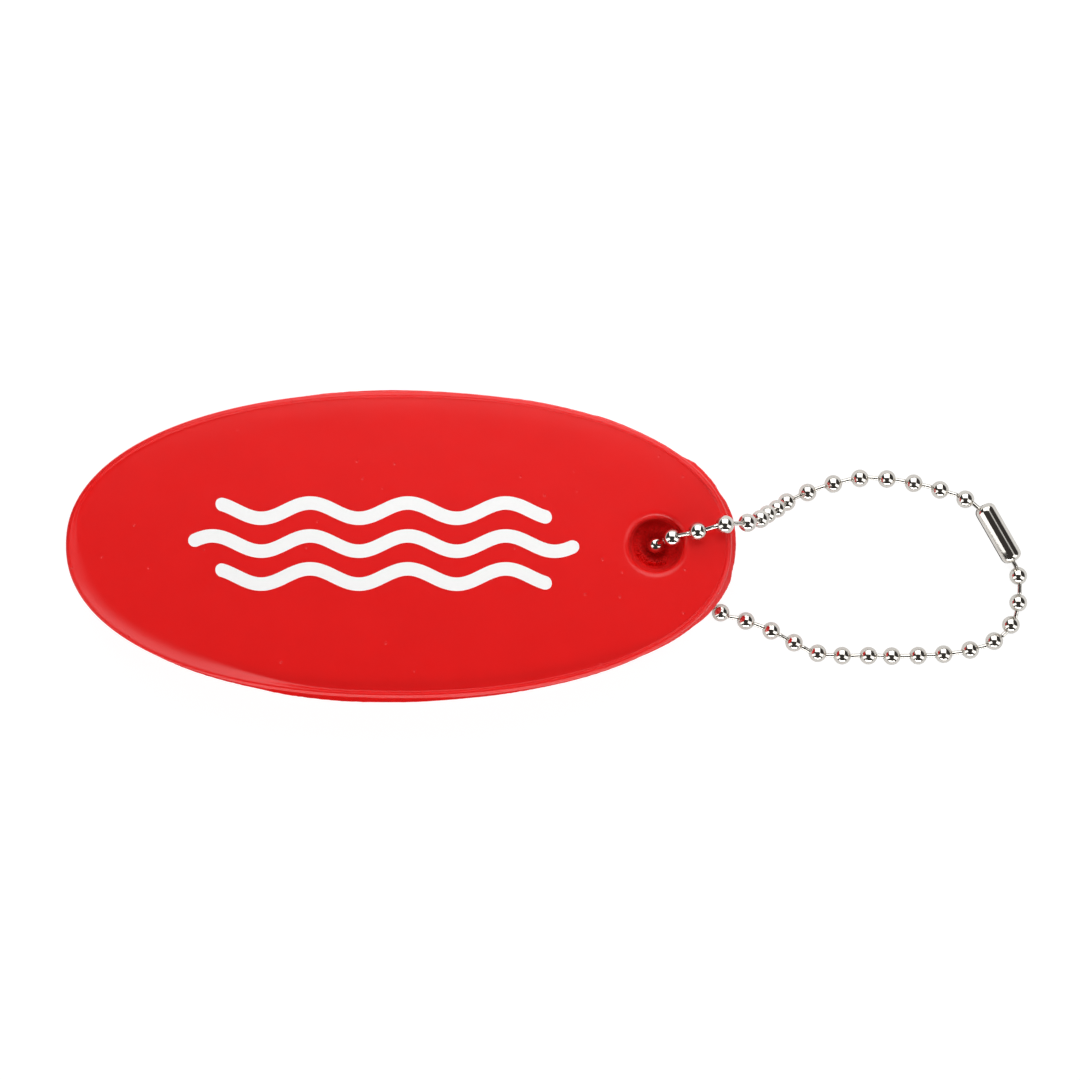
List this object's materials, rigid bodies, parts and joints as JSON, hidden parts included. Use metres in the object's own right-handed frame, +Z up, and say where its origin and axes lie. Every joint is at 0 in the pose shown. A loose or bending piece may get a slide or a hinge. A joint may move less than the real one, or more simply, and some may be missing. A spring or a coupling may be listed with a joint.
{
  "type": "floating keychain",
  "caption": "Oval red foam float with a raised rim and an eyelet at one end, carrying a closed loop of metal ball chain for keys.",
  "frame": {"origin": "centre of the footprint, on the surface that the keychain lies on", "axes": "+X along the float from its plain end to the eyelet and the chain, +Z up out of the float's face"},
  "size_m": [0.1284, 0.0414, 0.019],
  "materials": {
    "float_foam": "self-skinned moulded foam, satin",
    "chain_nickel": "polished nickel plate on steel",
    "coupling_nickel": "polished nickel plate on steel"
  },
  "bodies": {
    "float": {"float_body": "float_foam"},
    "chain_eye": {"bead_09": "chain_nickel", "bead_10": "chain_nickel", "bead_11": "chain_nickel", "bead_12": "chain_nickel", "bead_13": "chain_nickel", "bead_14": "chain_nickel", "bead_15": "chain_nickel", "bead_16": "chain_nickel", "bead_17": "chain_nickel", "bead_18": "chain_nickel", "bead_19": "chain_nickel", "bead_20": "chain_nickel", "bead_21": "chain_nickel", "bead_22": "chain_nickel", "bead_23": "chain_nickel", "bead_24": "chain_nickel", "bead_25": "chain_nickel", "bead_26": "chain_nickel"},
    "loop_1": {"bead_08": "chain_nickel", "bead_27": "chain_nickel"},
    "loop_2": {"bead_07": "chain_nickel", "bead_28": "chain_nickel"},
    "loop_3": {"bead_06": "chain_nickel", "bead_29": "chain_nickel"},
    "loop_4": {"bead_05": "chain_nickel", "bead_30": "chain_nickel"},
    "loop_5": {"bead_04": "chain_nickel", "bead_31": "chain_nickel"},
    "loop_6": {"bead_03": "chain_nickel", "bead_32": "chain_nickel"},
    "loop_7": {"bead_02": "chain_nickel", "bead_33": "chain_nickel"},
    "loop_end": {"bead_01": "chain_nickel", "bead_34": "chain_nickel", "bead_35": "chain_nickel", "bead_36": "chain_nickel", "bead_37": "chain_nickel", "bead_38": "chain_nickel"},
    "coupling": {"coupling": "coupling_nickel"}
  },
  "joints": [
    {"name": "chain_swing", "type": "hinge", "parent": "float", "child": "chain_eye", "pos_m": [0.01328, 0.0001, 0.00927], "axis": [-0.0266, 0.0194, 0.9995], "range_deg": [-45, 45]},
    {"name": "loop_fold_1", "type": "hinge", "parent": "chain_eye", "child": "loop_1", "pos_m": [0.03354, -0.004, 0.00169], "axis": [0.1235, -0.9912, -0.0478], "range_deg": [-20, 10]},
    {"name": "loop_fold_2", "type": "hinge", "parent": "loop_1", "child": "loop_2", "pos_m": [0.03681, -0.00361, 0.00109], "axis": [0.1142, -0.9934, 0.0094], "range_deg": [-20, 10]},
    {"name": "loop_fold_3", "type": "hinge", "parent": "loop_2", "child": "loop_3", "pos_m": [0.04036, -0.0031, 0.0012], "axis": [0.1091, -0.994, 0.0004], "range_deg": [-20, 20]},
    {"name": "loop_fold_4", "type": "hinge", "parent": "loop_3", "child": "loop_4", "pos_m": [0.04374, -0.00286, 0.0012], "axis": [0.087, -0.9962, 0], "range_deg": [-20, 20]},
    {"name": "loop_fold_5", "type": "hinge", "parent": "loop_4", "child": "loop_5", "pos_m": [0.04737, -0.00299, 0.0012], "axis": [0.0846, -0.9964, 0], "range_deg": [-20, 20]},
    {"name": "loop_fold_6", "type": "hinge", "parent": "loop_5", "child": "loop_6", "pos_m": [0.0509, -0.00327, 0.0012], "axis": [0.0812, -0.9967, 0], "range_deg": [-20, 20]},
    {"name": "loop_fold_7", "type": "hinge", "parent": "loop_6", "child": "loop_7", "pos_m": [0.05447, -0.00357, 0.0012], "axis": [0.0902, -0.9959, -0.0001], "range_deg": [-20, 20]},
    {"name": "loop_fold_8", "type": "hinge", "parent": "loop_7", "child": "loop_end", "pos_m": [0.05784, -0.00385, 0.00122], "axis": [0.1021, -0.9948, -0.0023], "range_deg": [-20, 20]},
    {"name": "coupling_spin", "type": "hinge", "parent": "loop_end", "child": "coupling", "pos_m": [0.06029, 0.00171, 0.00144], "axis": [0.497, -0.8678, 0], "range_deg": [-10, 10]}
  ]
}
